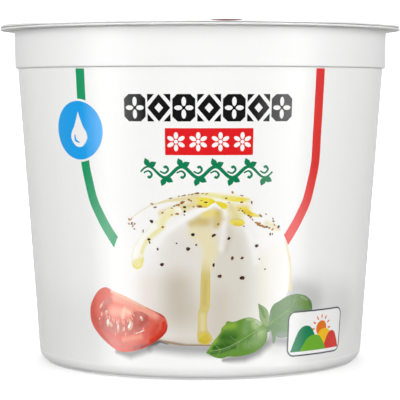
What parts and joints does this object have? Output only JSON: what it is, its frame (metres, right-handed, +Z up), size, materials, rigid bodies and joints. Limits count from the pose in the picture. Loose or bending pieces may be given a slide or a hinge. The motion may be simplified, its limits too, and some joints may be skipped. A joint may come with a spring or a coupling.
{
  "type": "sealed tub of burrata cheese",
  "caption": "Shut tapered white plastic tub with a stacking band, flange and foot ring, closed by a heat-sealed film lid; holds burrata in brine.",
  "frame": {"origin": "middle of the base, on the surface that the tub stands on", "axes": "+Z up along the tub's axis, -Y towards the printed front, +X to the right of the printed front"},
  "size_m": [0.118, 0.118, 0.0987],
  "materials": {
    "tub_plastic": "white moulded polypropylene, satin gloss",
    "lid_film": "white printed sealing film, glossy",
    "label_film": "clear-coated white film of the in-mould label, glossy, fused into the tub's wall",
    "print_green": "green ink under the label's clear coat: left stripe and scrolling vine",
    "print_red": "red ink under the label's clear coat: right stripe and band of rosettes",
    "print_black": "near-black ink under the label's clear coat: frieze",
    "print_blue": "blue ink under the label's clear coat: round badge",
    "food_picture": "inks of the food picture under the label's clear coat: cheese, oil, tomato and basil",
    "lid_print": "inks printed on the lid film, glossy"
  },
  "bodies": {
    "root": {"tub": "tub_plastic", "lid_film": "lid_film"}
  },
  "joints": []
}
